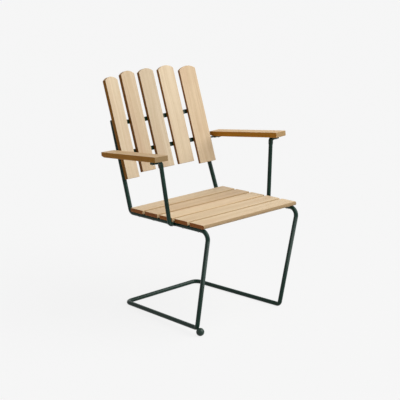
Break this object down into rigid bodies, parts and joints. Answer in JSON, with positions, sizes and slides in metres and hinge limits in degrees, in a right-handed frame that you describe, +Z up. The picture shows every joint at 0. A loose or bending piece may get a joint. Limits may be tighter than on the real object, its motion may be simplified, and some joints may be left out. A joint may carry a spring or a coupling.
{
  "type": "cantilever garden armchair",
  "caption": "Cantilever garden armchair: a bent round steel bar carries a slatted seat, a curved slatted back and board armrests.",
  "frame": {"origin": "on the floor, under the middle of the chair's bounding box", "axes": "+Z up, +X to the sitter's left, -Y the way the sitter faces"},
  "size_m": [0.648, 0.5874, 0.865],
  "materials": {
    "green_paint": "satin",
    "oiled_wood": "oiled",
    "zinc_steel": "satin"
  },
  "bodies": {
    "root": {"frame": "green_paint", "ball_foot": "green_paint", "lower_back_rail": "green_paint", "upper_back_rail": "green_paint", "left_arm_support": "green_paint", "right_arm_support": "green_paint", "left_arm_lug": "green_paint", "right_arm_lug": "green_paint", "back_slat_1": "oiled_wood", "back_slat_2": "oiled_wood", "back_slat_3": "oiled_wood", "back_slat_4": "oiled_wood", "back_slat_5": "oiled_wood", "seat_slat_1": "oiled_wood", "seat_slat_2": "oiled_wood", "seat_slat_3": "oiled_wood", "seat_slat_4": "oiled_wood", "seat_slat_5": "oiled_wood", "left_armrest": "oiled_wood", "right_armrest": "oiled_wood", "seat_screws": "zinc_steel", "back_screws": "zinc_steel", "arm_front_screws": "zinc_steel", "arm_rear_screws": "zinc_steel"}
  },
  "joints": []
}
